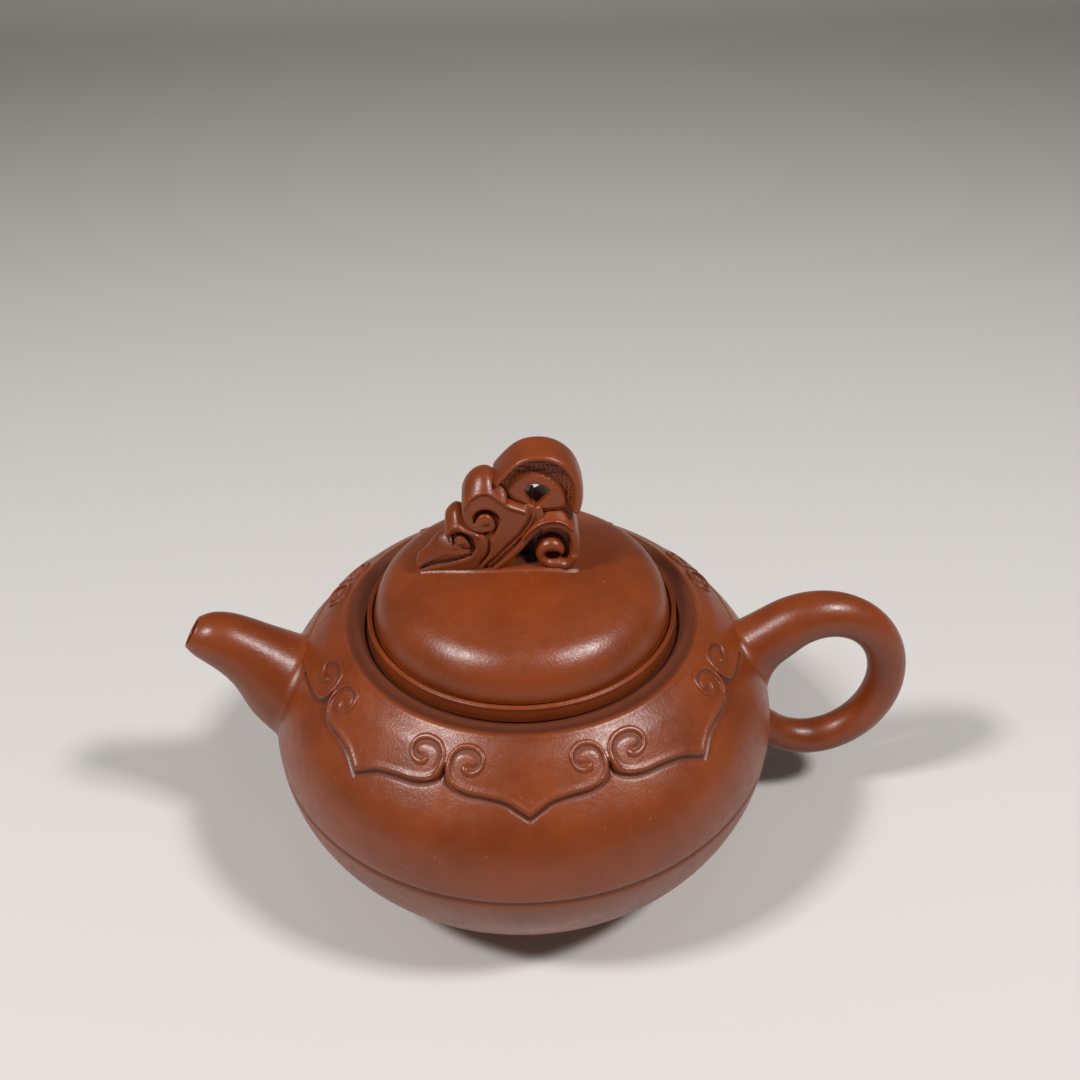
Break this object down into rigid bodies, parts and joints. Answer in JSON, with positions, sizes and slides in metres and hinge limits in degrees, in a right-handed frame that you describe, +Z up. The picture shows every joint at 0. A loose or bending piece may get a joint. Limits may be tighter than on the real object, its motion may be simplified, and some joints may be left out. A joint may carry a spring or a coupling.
{
  "type": "clay teapot",
  "caption": "Low round unglazed red clay teapot with tapered spout, ring handle, cloud relief on the shoulder and a lift-off domed lid with an openwork cloud knob.",
  "frame": {"origin": "centre of the foot ring's flat face, on the pot's axis", "axes": "+Z up along the pot's axis, +X from the spout to the handle, -Y to the front"},
  "size_m": [0.1803, 0.1256, 0.1142],
  "materials": {
    "red_clay": "satin unglazed, burnished",
    "bare_clay": "matt unglazed"
  },
  "bodies": {
    "pot": {"base_disc": "bare_clay", "foot_ring": "bare_clay", "belly_lower": "red_clay", "belly_upper": "red_clay", "mouth_ring": "red_clay", "cloud_collar": "red_clay", "cloud_scroll_1": "red_clay", "cloud_scroll_2": "red_clay", "cloud_scroll_3": "red_clay", "cloud_scroll_4": "red_clay", "cloud_scroll_5": "red_clay", "cloud_scroll_6": "red_clay", "cloud_scroll_7": "red_clay", "cloud_scroll_8": "red_clay", "spout": "red_clay", "strainer": "bare_clay", "handle": "red_clay"},
    "lid": {"lid_dome": "red_clay", "lid_rim": "red_clay", "lid_flange": "bare_clay", "knob_root": "red_clay", "knob_volute": "red_clay", "knob_curl_small": "red_clay", "knob_curl_large": "red_clay", "knob_hood": "red_clay", "knob_tail": "red_clay", "knob_stem": "red_clay"}
  },
  "joints": [
    {"name": "lid_lift", "type": "slide", "parent": "pot", "child": "lid", "axis": [0, 0, 1], "range_m": [0, 0.06]}
  ]
}
